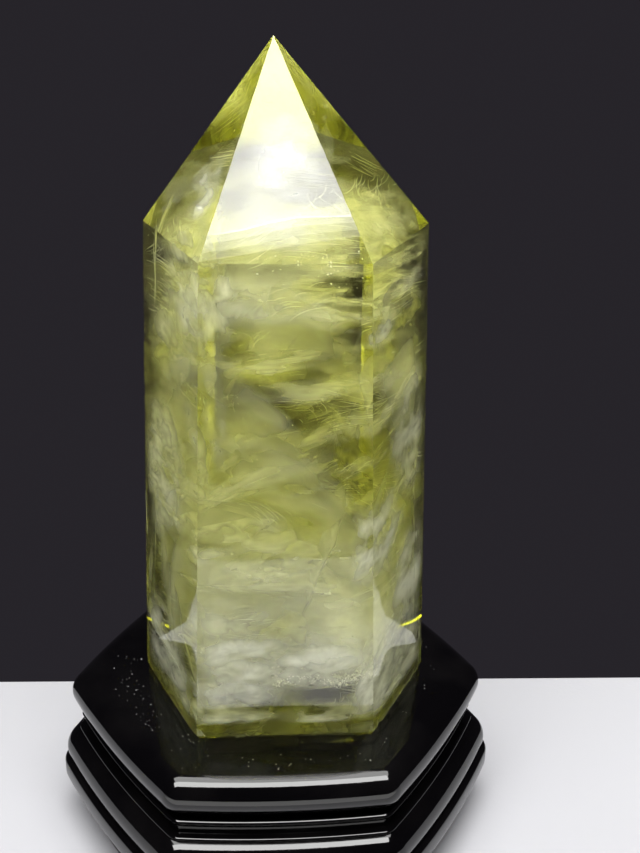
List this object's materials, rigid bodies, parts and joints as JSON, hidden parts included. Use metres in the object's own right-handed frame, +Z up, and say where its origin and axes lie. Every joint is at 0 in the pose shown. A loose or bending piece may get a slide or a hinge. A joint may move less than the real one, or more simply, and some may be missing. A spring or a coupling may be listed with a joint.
{
  "type": "polished citrine crystal point on a hexagonal wooden display stand",
  "caption": "Upright six-sided tower of cloudy yellow quartz with a faceted point, standing loose on a low black-lacquered hexagonal wooden stand with rounded mouldings.",
  "frame": {"origin": "middle of the stand's flat underside", "axes": "+Z up along the crystal, -Y is the stand's front side, +X to the right seen from the front"},
  "size_m": [0.106, 0.093, 0.1923],
  "materials": {
    "citrine": "hand-polished, clear and cloudy inside",
    "lacquered_wood": "black gloss lacquer"
  },
  "bodies": {
    "root": {"crystal": "citrine", "stand": "lacquered_wood"}
  },
  "joints": []
}
